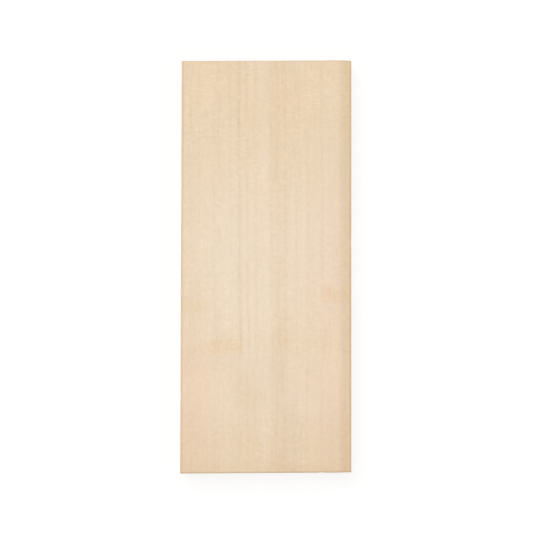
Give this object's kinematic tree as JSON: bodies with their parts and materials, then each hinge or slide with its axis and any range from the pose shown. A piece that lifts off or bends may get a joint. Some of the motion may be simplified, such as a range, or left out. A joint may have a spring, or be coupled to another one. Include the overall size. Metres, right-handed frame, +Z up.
{
  "type": "cedar board",
  "caption": "Planed cedar board: a flat rectangular plank with eased arrises and one long edge softly rounded off its top face.",
  "frame": {"origin": "centre of the underside, the face that the board lies on", "axes": "+X across the grain towards the softened long edge, +Y along the grain towards the far end, +Z up from the underside to the top face"},
  "size_m": [0.1264, 0.305, 0.019],
  "materials": {
    "cedar": "matte"
  },
  "bodies": {
    "root": {"board": "cedar"}
  },
  "joints": []
}
